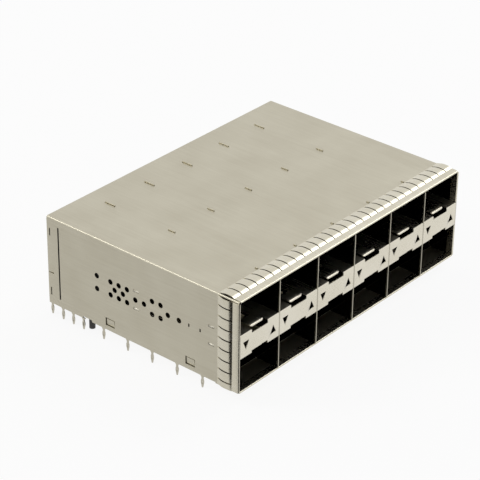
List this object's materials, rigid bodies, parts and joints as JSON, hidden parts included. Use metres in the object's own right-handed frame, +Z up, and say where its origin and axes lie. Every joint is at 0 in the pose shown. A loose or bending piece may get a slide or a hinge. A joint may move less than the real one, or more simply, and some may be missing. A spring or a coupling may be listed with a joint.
{
  "type": "sfp cage",
  "caption": "Folded sheet-metal cage with stacked module ports, latch tongues, shielding springs and press-fit pins, over board connectors.",
  "frame": {"origin": "centre of the cage's footprint on the circuit board's top face, which is the underside of the floor plate", "axes": "+X along the row of ports, -Y out of the ports' mouths, +Z up from the board"},
  "size_m": [0.087, 0.0626, 0.0284],
  "materials": {
    "cage_sheet": "rolled nickel-silver sheet, satin",
    "latch_sheet": "rolled nickel-silver sheet, satin, bright",
    "spring_strip": "thin spring strip, satin, plated",
    "connector_plastic": "black glass-filled moulding",
    "contact_plating": "gold-plated copper alloy strip"
  },
  "bodies": {
    "root": {"cage_shell": "cage_sheet", "rear_cover": "cage_sheet", "bottom_plate": "cage_sheet", "divider_1": "cage_sheet", "divider_2": "cage_sheet", "divider_3": "cage_sheet", "divider_4": "cage_sheet", "divider_5": "cage_sheet", "latch_plate_1": "latch_sheet", "latch_plate_2": "latch_sheet", "latch_plate_3": "latch_sheet", "latch_plate_4": "latch_sheet", "latch_plate_5": "latch_sheet", "latch_plate_6": "latch_sheet", "spring_top": "spring_strip", "spring_bottom": "spring_strip", "spring_left": "spring_strip", "spring_right": "spring_strip", "connector_1": "connector_plastic", "connector_2": "connector_plastic", "connector_3": "connector_plastic", "connector_4": "connector_plastic", "connector_5": "connector_plastic", "connector_6": "connector_plastic", "tail_aligner_1": "connector_plastic", "tail_aligner_2": "connector_plastic", "tail_aligner_3": "connector_plastic", "tail_aligner_4": "connector_plastic", "tail_aligner_5": "connector_plastic", "tail_aligner_6": "connector_plastic", "upper_contacts_1": "contact_plating", "upper_contacts_2": "contact_plating", "upper_contacts_3": "contact_plating", "upper_contacts_4": "contact_plating", "upper_contacts_5": "contact_plating", "upper_contacts_6": "contact_plating", "lower_contacts_1": "contact_plating", "lower_contacts_2": "contact_plating", "lower_contacts_3": "contact_plating", "lower_contacts_4": "contact_plating", "lower_contacts_5": "contact_plating", "lower_contacts_6": "contact_plating"}
  },
  "joints": []
}
